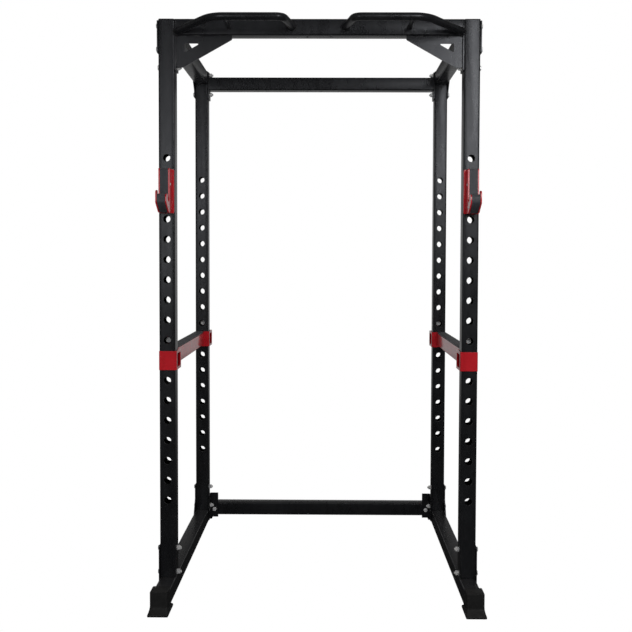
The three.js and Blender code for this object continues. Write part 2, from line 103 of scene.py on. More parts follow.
camera_lens = bpy.data.cameras.new("camera")
camera_lens.lens, camera_lens.sensor_width = 48.38, 36
camera_lens.shift_x, camera_lens.shift_y = -0.0093, -0.0416
camera = bpy.data.objects.new("camera", camera_lens)
camera.matrix_world = (
    Matrix.Translation(CAMERA_PLACE)
    @ Matrix.Rotation(LOOKS_LEFT, 4, "Z")
    @ Matrix.Rotation(math.pi / 2 - LOOKS_DOWN, 4, "X")
    @ Matrix.Rotation(LEANS, 4, "Z")
)
scene.collection.objects.link(camera)
scene.camera = camera
print("camera at", [round(v, 3) for v in CAMERA_PLACE], "lens", camera_lens.lens, "mm")

# %% [markdown]
# ## Effects that several finishes share
# Powder coat, plastic, rubber and zinc plate differ in colour, but the same things happen to
# them: edges rub bright, dust settles on top, and hands change the gloss. Each effect is a
# shader node group, built once and placed in a material with that material's own values.

# %% a small kit for node trees
def new_effect(name, inputs, outputs):
    """An empty node group with float inputs {name: value} and the named float outputs."""
    group = bpy.data.node_groups.new(name, "ShaderNodeTree")
    for label, value in inputs.items():
        group.interface.new_socket(label, in_out="INPUT", socket_type="NodeSocketFloat").default_value = value
    for label in outputs:
        group.interface.new_socket(label, in_out="OUTPUT", socket_type="NodeSocketFloat")
    return group, group.nodes.new("NodeGroupInput").outputs, group.nodes.new("NodeGroupOutput").inputs


def add_node(tree, kind, links=None, **values):
    """A node with its attributes set, and its inputs linked or set by name or number."""
    node = tree.nodes.new("ShaderNode" + kind)
    for label, value in values.items():
        setattr(node, label, value)
    for label, source in (links or {}).items():
        if isinstance(source, bpy.types.NodeSocket):
            tree.links.new(source, node.inputs[label])
        else:
            node.inputs[label].default_value = source
    return node


def maths(tree, operation, a, b=0.0, clamp=False):
    return add_node(tree, "Math", {0: a, 1: b}, operation=operation, use_clamp=clamp).outputs[0]


def noise(tree, place, scale, detail, roughness=0.5):
    values = {"Vector": place, "Scale": scale, "Detail": detail, "Roughness": roughness}
    return add_node(tree, "TexNoise", values).outputs[0]


def remap(tree, value, low, high, to_low=0.0, to_high=1.0):
    """A value between low and high, moved to the span from to_low to to_high."""
    spans = {"Value": value, "From Min": low, "From Max": high, "To Min": to_low, "To Max": to_high}
    return add_node(tree, "MapRange", spans).outputs[0]


print("node helpers ready")

# %% [markdown]
# ### Orange peel
# Powder melts into a skin that is never quite flat. Two sizes of noise give its slow waves
# and its fine tooth. Noise in object space needs no unwrapping, and it keeps its real size.

# %% orange peel
peel, given, out = new_effect("orange_peel", {"Size": 0.0015, "Tooth": 0.3}, ["Height"])
place = add_node(peel, "TexCoord").outputs["Object"]
coarse_scale = maths(peel, "DIVIDE", 1.0, given["Size"])
fine_scale = maths(peel, "MULTIPLY", coarse_scale, 5.0)
waves = noise(peel, place, coarse_scale, 1.0)
tooth = noise(peel, place, fine_scale, 2.0)
peel.links.new(maths(peel, "ADD", waves, maths(peel, "MULTIPLY", tooth, given["Tooth"])), out["Height"])
print("orange_peel:", len(peel.nodes), "nodes")

# %% [markdown]
# ### Rubbed edges
# A coat is thinnest where metal turns a corner, and that is also what gets knocked. The Bevel
# node gives the normal that a rounded corner would have: where it differs from the true one,
# there is an edge near. Noise breaks the line up.

# %% rubbed edges
rub, given, out = new_effect("rubbed_edges", {"Reach": 0.0012, "Amount": 0.5, "Patches": 60.0}, ["Mask"])
place = add_node(rub, "TexCoord").outputs["Object"]
rounded = add_node(rub, "Bevel", {"Radius": given["Reach"]}, samples=4).outputs[0]
true_normal = add_node(rub, "NewGeometry").outputs["Normal"]
alike = add_node(rub, "VectorMath", {0: rounded, 1: true_normal}, operation="DOT_PRODUCT").outputs["Value"]
near_edge = maths(rub, "MULTIPLY", maths(rub, "SUBTRACT", 1.0, alike), 6.0, clamp=True)
patches = noise(rub, place, given["Patches"], 6.0)
broken = remap(rub, patches, 0.48, 0.66)
worn = maths(rub, "MULTIPLY", maths(rub, "MULTIPLY", near_edge, broken), given["Amount"], clamp=True)
rub.links.new(worn, out["Mask"])
print("rubbed_edges:", len(rub.nodes), "nodes")

# %% [markdown]
# ### Settled dust
# Dust lies on faces that look up. The upward part of the normal, with cloudy noise over it,
# is enough for a mask.

# %% settled dust
dust, given, out = new_effect("settled_dust", {"Amount": 0.4, "Clouds": 14.0}, ["Mask"])
place = add_node(dust, "TexCoord").outputs["Object"]
upward = add_node(dust, "SeparateXYZ", {0: add_node(dust, "NewGeometry").outputs["Normal"]}).outputs["Z"]
facing_up = maths(dust, "POWER", maths(dust, "MAXIMUM", upward, 0.0), 2.0)
clouds = noise(dust, place, given["Clouds"], 5.0)
lying = maths(dust, "MULTIPLY", facing_up, maths(dust, "MULTIPLY", clouds, given["Amount"]), clamp=True)
dust.links.new(lying, out["Mask"])
print("settled_dust:", len(dust.nodes), "nodes")

# %% [markdown]
# ### Handling marks
# Gloss is never even. A slow cloud and a finer one, stretched along the tube as a wiping
# cloth leaves it, move the roughness between two values.

# %% handling marks
gloss_range = {"Smooth": 0.3, "Dull": 0.45, "Clouds": 5.0}
marks, given, out = new_effect("handling_marks", gloss_range, ["Roughness", "Mask"])
place = add_node(marks, "TexCoord").outputs["Object"]
along = add_node(marks, "Mapping", {"Vector": place, "Scale": (1.0, 1.0, 0.35)}).outputs[0]
slow = noise(marks, along, given["Clouds"], 3.0)
quick_scale = maths(marks, "MULTIPLY", given["Clouds"], 9.0)
quick = noise(marks, along, quick_scale, 6.0)
blend = maths(marks, "MULTIPLY", maths(marks, "ADD", slow, quick), 0.5)
even = remap(marks, blend, 0.35, 0.65)
gloss = remap(marks, even, 0.0, 1.0, given["Smooth"], given["Dull"])
marks.links.new(gloss, out["Roughness"])
marks.links.new(even, out["Mask"])
print("handling_marks:", len(marks.nodes), "nodes")

# %% [markdown]
# ### Moulded grain
# Plastic and rubber copy the etched skin of their mould: small cells with soft valleys
# between them. Voronoi cells give that pebbled look.

# %% moulded grain
grain, given, out = new_effect("moulded_grain", {"Size": 0.0008}, ["Height", "Mask"])
place = add_node(grain, "TexCoord").outputs["Object"]
cell_scale = maths(grain, "DIVIDE", 1.0, given["Size"])
voronoi = add_node(grain, "TexVoronoi", {"Vector": place, "Scale": cell_scale}, feature="SMOOTH_F1")
cells = voronoi.outputs["Distance"]
scuffs = noise(grain, place, 40.0, 8.0, roughness=0.7)
grain.links.new(maths(grain, "SUBTRACT", 1.0, cells), out["Height"])
grain.links.new(maths(grain, "MULTIPLY", maths(grain, "SUBTRACT", scuffs, 0.5), 3.0, clamp=True), out["Mask"])
print("moulded_grain:", len(grain.nodes), "nodes")

# %% [markdown]
# ## The finishes
# Each finish is one material with a Principled shader. Its colour goes through up to three
# layers: handling marks, bare metal at rubbed edges, then dust on top.

# %% a small kit for finishes
def new_finish(name, metallic=0.0, coat=0.0, ior=1.5):
    finish = bpy.data.materials.new(name)
    finish.use_nodes = True
    shader = finish.node_tree.nodes["Principled BSDF"]
    shader.inputs["Metallic"].default_value = metallic
    shader.inputs["Coat Weight"].default_value = coat
    shader.inputs["Coat Roughness"].default_value = 0.10
    shader.inputs["IOR"].default_value = ior
    return finish, finish.node_tree, shader.inputs


def place_effect(tree, group, **values):
    node = tree.nodes.new("ShaderNodeGroup")
    node.node_tree = group
    for label, value in values.items():
        node.inputs[label].default_value = value
    return node.outputs


def layer(tree, share, under, over):
    """One colour over another by a mask from 0 to 1."""
    mix = add_node(tree, "Mix", data_type="RGBA")
    for socket, value in ((mix.inputs["Factor"], share), (mix.inputs[6], under), (mix.inputs[7], over)):
        if isinstance(value, bpy.types.NodeSocket):
            tree.links.new(value, socket)
        else:
            socket.default_value = value
    return mix.outputs[2]


def raise_by(tree, height, distance, strength, shader):
    bump = add_node(tree, "Bump", {"Height": height, "Distance": distance, "Strength": strength})
    tree.links.new(bump.outputs[0], shader["Normal"])


print("finish helpers ready")

# %% [markdown]
# ### Powder coat, black and red
# Both coats come from the same oven, so one function makes them. The edge shows grey primer
# and a little bare steel; the black also has a faint cold tint in its worn clouds.

# %% powder coats
BARE_STEEL = (0.30, 0.29, 0.28, 1)
PALE_DUST = (0.32, 0.31, 0.30, 1)
COLD_GLOSS = (0.92, 0.94, 1.0, 1)


def powder_coat(name, deep, light, smooth, dull, rubbed, dusty, coat=0.0, gleam=0.5):
    finish, tree, shader = new_finish(name, coat=coat)
    shader["Specular IOR Level"].default_value = gleam
    shader["Specular Tint"].default_value = COLD_GLOSS
    handled = place_effect(tree, marks, Smooth=smooth, Dull=dull)
    colour = layer(tree, handled["Mask"], deep, light)
    colour = layer(tree, place_effect(tree, rub, Amount=rubbed)["Mask"], colour, BARE_STEEL)
    colour = layer(tree, place_effect(tree, dust, Amount=dusty)["Mask"], colour, PALE_DUST)
    tree.links.new(colour, shader["Base Color"])
    tree.links.new(handled["Roughness"], shader["Roughness"])
    raise_by(tree, place_effect(tree, peel, Size=0.0018, Tooth=0.25)["Height"], 0.00012, 0.35, shader)
    return finish


black_coat = powder_coat(
    "black_powder_coat", (0.0040, 0.0041, 0.0046, 1), (0.0075, 0.0077, 0.0086, 1), 0.24, 0.34, 0.30, 0.06
)
red_coat = powder_coat(
    "red_powder_coat", (0.28, 0.0025, 0.006, 1), (0.36, 0.0035, 0.009, 1), 0.34, 0.46, 0.22, 0.05,
    coat=0.9, gleam=0.2
)
print("powder coats:", black_coat.name, red_coat.name)

# %% [markdown]
# ### Zinc plate
# Plated bolts are metal with a slightly warm and cold clouding and fine tumbling scratches.

# %% zinc plate
zinc, tree, shader = new_finish("zinc_plate", metallic=0.55)
handled = place_effect(tree, marks, Smooth=0.30, Dull=0.52, Clouds=120.0)
colour = layer(tree, handled["Mask"], (0.52, 0.54, 0.58, 1), (0.72, 0.70, 0.66, 1))
tree.links.new(colour, shader["Base Color"])
tree.links.new(handled["Roughness"], shader["Roughness"])
raise_by(tree, place_effect(tree, peel, Size=0.0006, Tooth=0.6)["Height"], 0.00005, 0.3, shader)
print("zinc plate ready")

# %% [markdown]
# ### Plastics and rubber
# The hooks' and the bars' liners are a dull grey plastic that scuffs pale where steel runs
# over it. The caps are black and finely etched. The feet are rubber: blacker, coarser and dull.

# %% plastics and rubber
def moulded(name, deep, scuffed, smooth, dull, cell, dusty, scuffs):
    finish, tree, shader = new_finish(name, ior=1.48)
    skin = place_effect(tree, grain, Size=cell)
    handled = place_effect(tree, marks, Smooth=smooth, Dull=dull, Clouds=22.0)
    colour = layer(tree, maths(tree, "MULTIPLY", skin["Mask"], scuffs), deep, scuffed)
    colour = layer(tree, place_effect(tree, dust, Amount=dusty)["Mask"], colour, PALE_DUST)
    tree.links.new(colour, shader["Base Color"])
    tree.links.new(handled["Roughness"], shader["Roughness"])
    raise_by(tree, skin["Height"], 0.00015, 0.4, shader)
    return finish


# Each row: deep colour, scuffed colour, smoothest and dullest gloss, grain in metres, dust, scuffs.
MOULDED = {
    "liner_plastic": [(0.022, 0.023, 0.028, 1), (0.060, 0.061, 0.064, 1), 0.42, 0.6, 0.0009, 0.2, 0.6],
    "cap_plastic": [(0.010, 0.010, 0.011, 1), (0.03, 0.03, 0.031, 1), 0.4, 0.55, 0.0006, 0.12, 0.4],
    "foot_rubber": [(0.004, 0.004, 0.004, 1), (0.014, 0.0135, 0.013, 1), 0.5, 0.75, 0.0012, 0.06, 0.5],
}
liner_plastic, cap_plastic, foot_rubber = [moulded(name, *row) for name, row in MOULDED.items()]

# The tubes are coated outside only: inside them the steel keeps its mill scale, and its near-black colour is
# also painted shade for the hollow seen through the holes.
mill_scale_and_shade, tree, shader = new_finish("mill_scale_and_shade")
flakes = place_effect(tree, grain, Size=0.004)
dark = layer(tree, flakes["Mask"], (0.0022, 0.0021, 0.0021, 1), (0.006, 0.0055, 0.005, 1))
tree.links.new(dark, shader["Base Color"])
shader["Roughness"].default_value = 0.85
print("moulded finishes:", liner_plastic.name, cap_plastic.name, foot_rubber.name)

# %% [markdown]
# ## Making shapes
# Every piece starts as a bmesh, which is Blender's mesh in code. A few shape makers are enough
# for a cage: a prism on any outline, a tube, a turned profile, a bar swept along a path, and
# a cut that takes one shape out of another.

# %% outlines and prisms
# Which way an outline's (u, v) and its length run, for each axis of a prism.
RUNS = {"x": lambda u, v, w: (w, u, v), "y": lambda u, v, w: (v, w, u), "z": lambda u, v, w: (u, v, w)}


def rounded_box_outline(u, v, radius, steps=4):
    """Corner points, anticlockwise, of a box between (u0, u1) and (v0, v1) with round corners."""
    points = []
    for turn, (cu, cv) in enumerate(
        [(u[1] - radius, v[1] - radius), (u[0] + radius, v[1] - radius),
         (u[0] + radius, v[0] + radius), (u[1] - radius, v[0] + radius)]
    ):
        for step in range(steps + 1):
            angle = math.pi / 2 * (turn + step / steps)
            points.append((cu + radius * math.cos(angle), cv + radius * math.sin(angle)))
    return points


def rounded_outline(corners, radii, steps=5):
    """A polygon with each corner rounded to its own radius."""
    points, count = [], len(corners)
    for i, corner in enumerate(corners):
        here = Vector(corner)
        before, after = Vector(corners[i - 1]) - here, Vector(corners[(i + 1) % count]) - here
        radius = radii[i] if isinstance(radii, (list, tuple)) else radii
        if radius == 0:
            points.append(tuple(here))
            continue
        half = before.angle(after) / 2
        back = radius / math.tan(half)
        start, end = here + before.normalized() * back, here + after.normalized() * back
        middle = here + (before.normalized() + after.normalized()).normalized() * (radius / math.sin(half))
        first, last = start - middle, end - middle
        sweep = math.atan2(first.x * last.y - first.y * last.x, first.dot(last))
        for step in range(steps + 1):
            turned = Matrix.Rotation(sweep * step / steps, 2) @ first
            points.append(tuple(middle + turned))
    return points


def curve_through(start, control, end, steps=6):
    """Points along a smooth corner, without its first one."""
    start, control, end = Vector(start), Vector(control), Vector(end)
    shares = [(k + 1) / steps for k in range(steps)]
    return [start * (1 - t) ** 2 + control * 2 * t * (1 - t) + end * t**2 for t in shares]


def add_prism(shape, outline, w, axis):
    """A closed solid on an outline, between two places along an axis."""
    ends = [[shape.verts.new(RUNS[axis](u, v, at)) for u, v in outline] for at in w]
    count = len(outline)
    for i in range(count):
        j = (i + 1) % count
        shape.faces.new((ends[0][i], ends[0][j], ends[1][j], ends[1][i]))
    shape.faces.new(ends[1])
    shape.faces.new(ends[0][::-1])
    return shape


print("a round corner of five steps has", len(rounded_box_outline((0, 1), (0, 1), 0.1)), "points in its box")

# %% tubes and lofts
def add_loft(shape, rings, closed_ends=True):
    """Skins a row of rings, each a list of points of the same count."""
    rows = [[shape.verts.new(p) for p in ring] for ring in rings]
    count = len(rows[0])
    for low, high in zip(rows, rows[1:]):
        for i in range(count):
            j = (i + 1) % count
            shape.faces.new((low[i], low[j], high[j], high[i]))
    if closed_ends:
        shape.faces.new(rows[-1])
        shape.faces.new(rows[0][::-1])
    return rows


def add_tube(shape, u, v, w, axis):
    """A square tube, open at its ends, with a round inside and outside corner."""
    outer = rounded_box_outline(u, v, CORNER)
    inner = rounded_box_outline((u[0] + WALL, u[1] - WALL), (v[0] + WALL, v[1] - WALL), CORNER - WALL)
    run = RUNS[axis]
    rings = [[run(*p, w[0]) for p in outer], [run(*p, w[1]) for p in outer],
             [run(*p, w[1]) for p in inner], [run(*p, w[0]) for p in inner]]
    rows = add_loft(shape, rings, closed_ends=False)
    count = len(outer)
    for i in range(count):
        j = (i + 1) % count
        shape.faces.new((rows[3][i], rows[3][j], rows[0][j], rows[0][i]))
    return shape


def tube_in_box(low, high, axis):
    """A tube that fills a box along one axis."""
    u, v, w = {"x": (1, 2, 0), "y": (2, 0, 1), "z": (0, 1, 2)}[axis]
    return add_tube(bmesh.new(), (low[u], high[u]), (low[v], high[v]), (low[w], high[w]), axis)


print("tube wall", WALL / MM, "mm, corner radius", CORNER / MM, "mm")

# %% turned shapes and swept bars
def add_turned(shape, profile, place, sides=32):
    """A profile of (radius, height) turned about z, then put in its place by a matrix."""
    rows = []
    for radius, height in profile:
        angles = [2 * math.pi * i / sides for i in range(sides)]
        rows.append([place @ Vector((radius * math.cos(a), radius * math.sin(a), height)) for a in angles])
    return add_loft(shape, rows)


def add_swept(shape, path, radius, sides=24):
    """A round bar along a path. radius is one number, or one for each point."""
    radii = radius if isinstance(radius, list) else [radius] * len(path)
    points = [Vector(p) for p in path]
    side, rows = None, []
    for i, point in enumerate(points):
        ahead = (points[min(i + 1, len(points) - 1)] - points[max(i - 1, 0)]).normalized()
        start = side or (Vector((0, 0, 1)) if abs(ahead.z) < 0.9 else Vector((1, 0, 0)))
        side = (start - ahead * start.dot(ahead)).normalized()
        across = ahead.cross(side)
        turns = [2 * math.pi * k / sides for k in range(sides)]
        rows.append([point + radii[i] * (side * math.cos(turn) + across * math.sin(turn)) for turn in turns])
    return add_loft(shape, rows)


def facing(axis, place, flip=False):
    """The matrix that stands a turned shape on a place, pointing along an axis."""
    turn = {"x": ("Y", 1), "y": ("X", -1), "z": ("X", 0)}[axis]
    stand = Matrix.Rotation(math.pi / 2 * turn[1] + (math.pi if flip else 0), 4, turn[0])
    return Matrix.Translation(place) @ stand


print("turned and swept shapes ready")

# %% [markdown]
# ### Cutting
# The Boolean modifier subtracts one closed mesh from another. Its result is read back into a
# bmesh, so no helper object stays in the scene.

# %% cutting
def temporary(shape, name):
    shape.normal_update()
    bmesh.ops.recalc_face_normals(shape, faces=shape.faces)
    mesh = bpy.data.meshes.new(name)
    shape.to_mesh(mesh)
    shape.free()
    held = bpy.data.objects.new(name, mesh)
    scene.collection.objects.link(held)
    return held


def cut_away(shape, tool):
    """The shape less the tool. Both are used up."""
    kept, gone = temporary(shape, "kept"), temporary(tool, "gone")
    cutter = kept.modifiers.new("cut", "BOOLEAN")
    cutter.operation, cutter.object, cutter.solver = "DIFFERENCE", gone, "EXACT"
    ready = kept.evaluated_get(bpy.context.evaluated_depsgraph_get())
    made = bmesh.new()
    made.from_mesh(ready.to_mesh())
    for helper in (kept, gone):
        mesh = helper.data
        bpy.data.objects.remove(helper)
        bpy.data.meshes.remove(mesh)
    return made


def round_tool(places, axis, length, radius, sides=32):
    """Straight pegs, centred on their places, to cut round holes with."""
    tool = bmesh.new()
    for place in places:
        add_turned(tool, [(radius, -length / 2), (radius, length / 2)], facing(axis, place), sides)
    return tool


print("cutting ready")

# %% [markdown]
# ### Weld beads
# A hand-laid bead is a row of overlapping ripples. A swept bar whose radius rises and falls
# every three millimetres gives that, half sunk in the seam.

# %% weld beads
RIPPLE = 3 * MM


def add_bead(shape, start, end, radius=2.2 * MM):
    """A rippled bead along a straight seam."""
    start, end = Vector(start), Vector(end)
    ripples = max(3, round((end - start).length / RIPPLE))
    path, radii = [], []
    for i in range(4 * ripples + 1):
        share = i / (4 * ripples)
        path.append(start.lerp(end, share))
        swell = (0.86, 1.0, 1.05, 1.0)[i % 4]
        taper = min(1.0, 0.35 + 8 * min(share, 1 - share))
        radii.append(radius * swell * taper)
    return add_swept(shape, path, radii, sides=8)


def add_ring_bead(shape, centre, axis, ring_radius, radius=2.4 * MM):
    """A rippled bead round a bar that meets a face."""
    ripples = max(12, round(2 * math.pi * ring_radius / RIPPLE))
    count = 3 * ripples
    rows, sides = [], 8
    place = facing(axis, centre)
    for i in range(count):
        angle = 2 * math.pi * i / count
        swell = radius * (0.88, 1.0, 1.03)[i % 3]
        row = []
        for k in range(sides):
            turn = 2 * math.pi * k / sides
            out_by, up = ring_radius + swell * math.cos(turn), swell * math.sin(turn)
            row.append(place @ Vector((out_by * math.cos(angle), out_by * math.sin(angle), up)))
        rows.append([shape.verts.new(p) for p in row])
    for i in range(count):
        low, high = rows[i], rows[(i + 1) % count]
        for k in range(sides):
            j = (k + 1) % sides
            shape.faces.new((low[k], low[j], high[j], high[k]))


print("beads ripple every", RIPPLE / MM, "mm")

# %% [markdown]
# ### From shape to piece
# Real edges are never sharp, and a rounded edge is what catches the light. A Bevel modifier
# with hardened normals rounds each hard edge and leaves the flats flat. The left side of the
# cage is the right side in a mirror, so a shape is made once for the right.

# %% finishing a piece
made_pieces = []
HARD_EDGE = math.radians(35)


def finish_piece(name, shape, material, body, stands_for, rounding=0.6 * MM, mirrored=False, inside=None):
    """Turns a shape into a named piece that rides on a body and stands for CAD nodes."""
    if mirrored:
        bmesh.ops.scale(shape, vec=(-1, 1, 1), verts=shape.verts)
    bmesh.ops.recalc_face_normals(shape, faces=shape.faces)
    mesh = bpy.data.meshes.new(name)
    shape.to_mesh(mesh)
    shape.free()
    mesh.materials.append(material)
    if inside:
        mesh.materials.append(inside)
    mesh.polygons.foreach_set("use_smooth", [True] * len(mesh.polygons))
    mesh.set_sharp_from_angle(angle=HARD_EDGE)
    piece = bpy.data.objects.new(name, mesh)
    scene.collection.objects.link(piece)
    if rounding:
        bevel = piece.modifiers.new("rounded edges", "BEVEL")
        bevel.width, bevel.segments, bevel.limit_method = rounding, 2, "ANGLE"
        bevel.angle_limit, bevel.harden_normals = HARD_EDGE, True
        bevel.use_clamp_overlap = True
    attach(piece, body)
    if stands_for:
        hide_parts(*stands_for)
    made_pieces.append(piece)


def on_both_sides(name, make, material, body="frame", **choices):
    """Makes a piece for the right side and its mirror image for the left."""
    for side, sign in SIDES.items():
        rides_on = body if body == "frame" else f"{side}_{body}"
        node = f"{side}_{name}"
        stands_for = [node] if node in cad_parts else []
        finish_piece(f"{node}_piece", make(), material, rides_on, stands_for, mirrored=sign < 0, **choices)
    print(name, "made on both sides")


# %% [markdown]
# ## The uprights
# Each upright is a tube with eighteen round holes drilled straight through, front to rear.
# Cutting real holes lets the wall's thickness and the far side show through them.

# %% uprights
def make_upright(node):
    low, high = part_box(node)
    tube = tube_in_box(low, high, "z")
    centre_y = (low[1] + high[1]) / 2
    places = [(post_x, centre_y, z) for z in hole_heights]
    drilled = cut_away(tube, round_tool(places, "y", 2 * TUBE, HOLE_RADIUS, sides=36))
    bore = TUBE / 2 - WALL + 0.05 * MM
    for face in drilled.faces:
        if all(abs(v.co.x - post_x) < bore and abs(v.co.y - centre_y) < bore for v in face.verts):
            # The bare inside is real mill scale, made near-black as painted shade for the hollow seen through
            # the holes.
            face.material_index = 1  # the bare inside
    return drilled


for end in ("front", "rear"):
    node = f"right_{end}_upright"
    on_both_sides(f"{end}_upright", lambda: make_upright(node), black_coat, inside=mill_scale_and_shade)

# %% [markdown]
# ## The caps
# A moulded plug closes each upright. Its lid is slightly domed, with a soft edge, so it is
# lofted from rounded squares that draw in towards the top.

# %% caps
def rounded_square(centre, half, radius, height, steps=5):
    u, v = (centre[0] - half, centre[0] + half), (centre[1] - half, centre[1] + half)
    return [(x, y, height) for x, y in rounded_box_outline(u, v, radius, steps)]


def make_cap(node):
    low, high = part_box(node)
    centre = ((low[0] + high[0]) / 2, (low[1] + high[1]) / 2)
    lid = high[2] - 3.7 * MM
    half = (high[0] - low[0]) / 2
    levels = [(-5, low[2]), (-3, lid), (0, lid), (0, high[2] - 1.8 * MM), (-0.5, high[2] - 0.9 * MM),
              (-1.5, high[2] - 0.35 * MM), (-9, high[2] - 0.1 * MM), (-22, high[2])]
    shape = bmesh.new()
    add_loft(shape, [rounded_square(centre, half + grow * MM, 5 * MM, z) for grow, z in levels])
    return shape


for end in ("front", "rear"):
    node = f"right_{end}_upright_cap"
    on_both_sides(f"{end}_upright_cap", lambda: make_cap(node), cap_plastic, rounding=0)

# %% [markdown]
# ## Corner plates and rails
# A flat plate on the outer side of each upright ties it to its rail. The plate is one outline
# with eased corners, and a bead runs along its lower edge where it is welded to the rail.

# %% corner plates
PLATE_REACH = 44 * MM


def corner_outline(centre_y, inward, rail_far, rail_near, tip):
    """A plate's outline in (y, z): from the rail's far edge past its near edge to the tip."""
    back, front = centre_y - inward * TUBE / 2, centre_y + inward * TUBE / 2
    rise = rail_near + 0.45 * (tip - rail_near)
    shoulder = rail_far + 0.7 * (rail_near - rail_far)
    reach = front + inward * PLATE_REACH
    corners = [(back, rail_far), (reach, rail_far), (reach, shoulder), (front, rise), (front, tip),
               (back, tip)]
    return rounded_outline(corners, [3 * MM, 6 * MM, 4 * MM, 12 * MM, 5 * MM, 5 * MM])


def add_corner_plate(shape, plate_x, centre_y, inward, rail_far, rail_near, tip):
    add_prism(shape, corner_outline(centre_y, inward, rail_far, rail_near, tip), plate_x, "x")
    edge = centre_y + inward * (TUBE / 2 + PLATE_REACH)
    z = rail_far + (1.5 * MM if rail_far < rail_near else -1.5 * MM)
    start = (plate_x[0] + 0.5 * MM, centre_y - inward * (TUBE / 2 - 4 * MM), z)
    add_bead(shape, start, (plate_x[0] + 0.5 * MM, edge - inward * 4 * MM, z))


print("corner plates reach", PLATE_REACH / MM, "mm past the upright")

# %% rails
def make_rail(node, tube_z, tube_y, plate_z):
    """A rail with its two corner plates, one at each upright. plate_z is the plates' far, near and tip
    heights.
    """
    shape = bmesh.new()
    add_tube(shape, tube_z, (post_low[0], post_high[0]), tube_y, "y")
    plate_x = (post_high[0] + GAP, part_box(node)[1][0])
    for upright, inward in (((post_low, post_high), 1), ((rear_low, rear_high), -1)):
        centre = (upright[0][1] + upright[1][1]) / 2
        add_corner_plate(shape, plate_x, centre, inward, *plate_z)
    return shape


def make_base_rail():
    low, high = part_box("right_base_rail")
    tube_z = (low[2], low[2] + TUBE)
    return make_rail("right_base_rail", tube_z, (low[1], high[1]), (low[2] + 2 * MM, tube_z[1], high[2]))


def make_top_rail():
    low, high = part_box("right_top_rail")
    tube_y, tube_z = (post_high[1] + GAP, rear_low[1] - GAP), (high[2] - TUBE, high[2])
    return make_rail("right_top_rail", tube_z, tube_y, (high[2] - 2 * MM, tube_z[0], low[2]))


on_both_sides("base_rail", make_base_rail, black_coat)
on_both_sides("top_rail", make_top_rail, black_coat)

# %% [markdown]
# ## The crossbeams
# The front beam carries the grips. Its long end plates bolt to the uprights' inner sides, and
# a bead runs all round each tube end. Small vent holes underneath let the powder's gases out.

# %% crossbeams
VENT_RADIUS, BEAM_DROP = 5 * MM, 30 * MM


def make_crossbeam(node, centre_y, top, plate_drop, vents):
    low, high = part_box(node)
    faces = (high[0] - PLATE, high[0])
    front, back = centre_y - TUBE / 2, centre_y + TUBE / 2
    tube = bmesh.new()
    add_tube(tube, (front, back), (top - TUBE, top), (low[0] + 1 * MM, high[0] - 1 * MM), "x")
    if vents:
        places = [(x, centre_y, top - TUBE) for x in vents]
        tube = cut_away(tube, round_tool(places, "z", 20 * MM, VENT_RADIUS, 20))
    for sign in (-1, 1):
        plate_x = sorted(sign * x for x in faces)
        outline = rounded_box_outline((front + 0.5 * MM, back - 0.5 * MM), (plate_drop, high[2]), 5 * MM)
        add_prism(tube, outline, plate_x, "x")
        seam = sign * (faces[0] - 0.2 * MM)
        for z in (top - 2 * MM, top - TUBE + 1 * MM):
            add_bead(tube, (seam, front + 5 * MM, z), (seam, back - 5 * MM, z))
        for y in (front + 0.8 * MM, back - 0.8 * MM):
            add_bead(tube, (seam, y, top - TUBE + 4 * MM), (seam, y, top - 4 * MM))
    return tube


front_beam_low, front_beam_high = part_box("front_top_crossbeam")
rear_beam_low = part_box("rear_top_crossbeam")[0]
front_y, rear_y = (post_low[1] + post_high[1]) / 2, (rear_low[1] + rear_high[1]) / 2
for node, centre_y, top, low_z, vents in (
    ("front_top_crossbeam", front_y, front_beam_high[2], front_beam_low[2], (-0.045, 0.045)),
    ("rear_top_crossbeam", rear_y, cad_high[2] - BEAM_DROP, rear_beam_low[2], (0.0,)),
):
    beam = make_crossbeam(node, centre_y, top, low_z, vents)
    finish_piece(node + "_piece", beam, black_coat, "frame", [node])

node = "rear_bottom_crossbeam"
finish_piece(node + "_piece", tube_in_box(*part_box(node), "x"), black_coat, "frame", [node])
print("three crossbeams made")

# %% [markdown]
# ## The gussets
# A triangular plate with a triangular window stiffens each upper front corner. It is cut from
# sheet, so its outline is a polygon with small rounded corners, and a bead fixes its two edges.

# %% gussets
def make_gusset():
    low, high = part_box("right_gusset")
    right, top = high[0], high[2]
    corners = [(0, 0), (-209, 0), (-209, -15), (-26, -118), (0, -118)]
    window = [(-32, -29), (-91, -29), (-32, -62)]
    place = lambda points: [(top + z * MM, right + x * MM) for x, z in points]
    shape = bmesh.new()
    outline = rounded_outline(place(corners), [1 * MM, 1 * MM, 5 * MM, 5 * MM, 3 * MM])
    add_prism(shape, outline, (low[1], high[1]), "y")
    tool = bmesh.new()
    add_prism(tool, rounded_outline(place(window), 3 * MM), (low[1] - 10 * MM, high[1] + 10 * MM), "y")
    shape = cut_away(shape, tool)
    for y in (low[1] - 0.5 * MM, high[1] + 0.5 * MM):
        add_bead(shape, (right - 200 * MM, y, top), (right - 8 * MM, y, top))
        add_bead(shape, (right, y, top - 110 * MM), (right, y, top - 8 * MM))
    return shape


on_both_sides("gusset", make_gusset, black_coat)

# %% [markdown]
# ## The pull-up grips
# Each grip is one round bar with two bends, welded to the beam's front face at both ends and
# held by a short post. A bar swept along straight runs and arcs keeps its section through the
# bends, which a bent box would not.

# %% grips
GRIP_RADIUS, POST_RADIUS, GRIP_REACH, BENDS = 14 * MM, 7.5 * MM, 145 * MM, (45 * MM, 28 * MM)
GRIP_DROP, OUTER_DROP, INNER_DROP = 33 * MM, 47 * MM, 31 * MM
OUTER_END, OUTER_BEND, POST_X, INNER_BEND, INNER_END = 0.530, 0.385, 0.336, 0.128, 0.098


